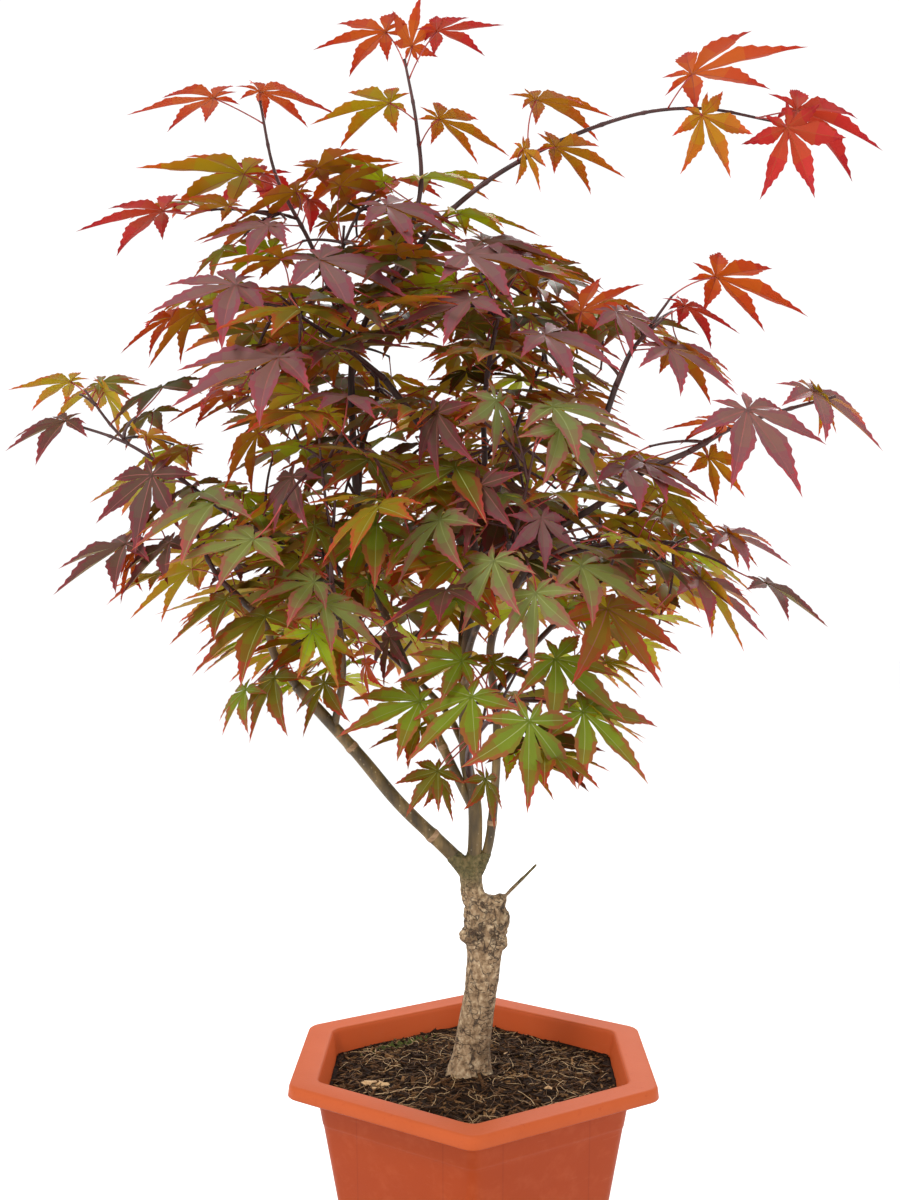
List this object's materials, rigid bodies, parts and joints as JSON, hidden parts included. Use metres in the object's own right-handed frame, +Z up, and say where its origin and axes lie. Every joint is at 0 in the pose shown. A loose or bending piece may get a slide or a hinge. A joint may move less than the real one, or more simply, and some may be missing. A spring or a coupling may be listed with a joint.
{
  "type": "potted japanese maple",
  "caption": "Young potted maple tree with a leaning grafted trunk, forked boughs and open masses of palmate leaves, in a tapered hexagonal pot filled with soil.",
  "frame": {"origin": "centre of the pot's flat underside", "axes": "+Z up along the trunk, -Y towards the front, where two faces of the pot meet in a corner; +X to the right seen from the front"},
  "size_m": [0.7613, 0.6009, 1.1184],
  "materials": {
    "pot_plastic": "moulded terracotta-orange plastic, satin, paler along the worn rim",
    "soil": "dark damp compost of bark chips with thin tan fibres",
    "bark_grey": "rough grey-tan bark with level flecks and a lumpy graft",
    "bark_olive": "smooth olive-brown young bark with pale bands at its nodes, redder towards the tips",
    "leaf_crimson": "thin leaf, crimson to orange-red, light shining through",
    "leaf_orange": "thin leaf, orange to bronze with redder lobes",
    "leaf_mauve": "thin leaf, dusky mauve-purple with pinker tips",
    "leaf_olive": "thin leaf, olive to bronze-green with red edges",
    "leaf_green": "thin leaf, mid green with pink-red lobe tips"
  },
  "bodies": {
    "root": {"pot": "pot_plastic", "soil": "soil", "trunk": "bark_grey", "bough_left": "bark_olive", "bough_left_up": "bark_olive", "bough_left_inner": "bark_olive", "middle_stem": "bark_olive", "leader": "bark_olive", "bough_top": "bark_olive", "bough_back_high": "bark_olive", "bough_front_low": "bark_olive", "bough_back_low": "bark_olive", "bough_front": "bark_olive", "bough_back": "bark_olive", "bough_back_up": "bark_olive", "centre_limb": "bark_olive", "bough_crown": "bark_olive", "right_stem": "bark_olive", "bough_right_low": "bark_olive", "bough_back_right": "bark_olive", "bough_right_long": "bark_olive", "bough_right_up": "bark_olive", "foliage_top_centre": "leaf_crimson", "foliage_top_right_arch": "leaf_orange", "foliage_top_left": "leaf_orange", "foliage_crown_left": "leaf_olive", "foliage_left_upper": "leaf_mauve", "foliage_left_long": "leaf_mauve", "foliage_left_low": "leaf_olive", "foliage_front_left": "leaf_olive", "foliage_front_low": "leaf_green", "foliage_front_middle": "leaf_green", "foliage_crown_front": "leaf_mauve", "foliage_right_upper": "leaf_orange", "foliage_right_long": "leaf_mauve", "foliage_right_low": "leaf_olive", "foliage_back_left_low": "leaf_green", "foliage_back_left_high": "leaf_olive", "foliage_back_right_low": "leaf_green", "foliage_back_middle": "leaf_olive", "foliage_back_right_high": "leaf_orange"}
  },
  "joints": []
}
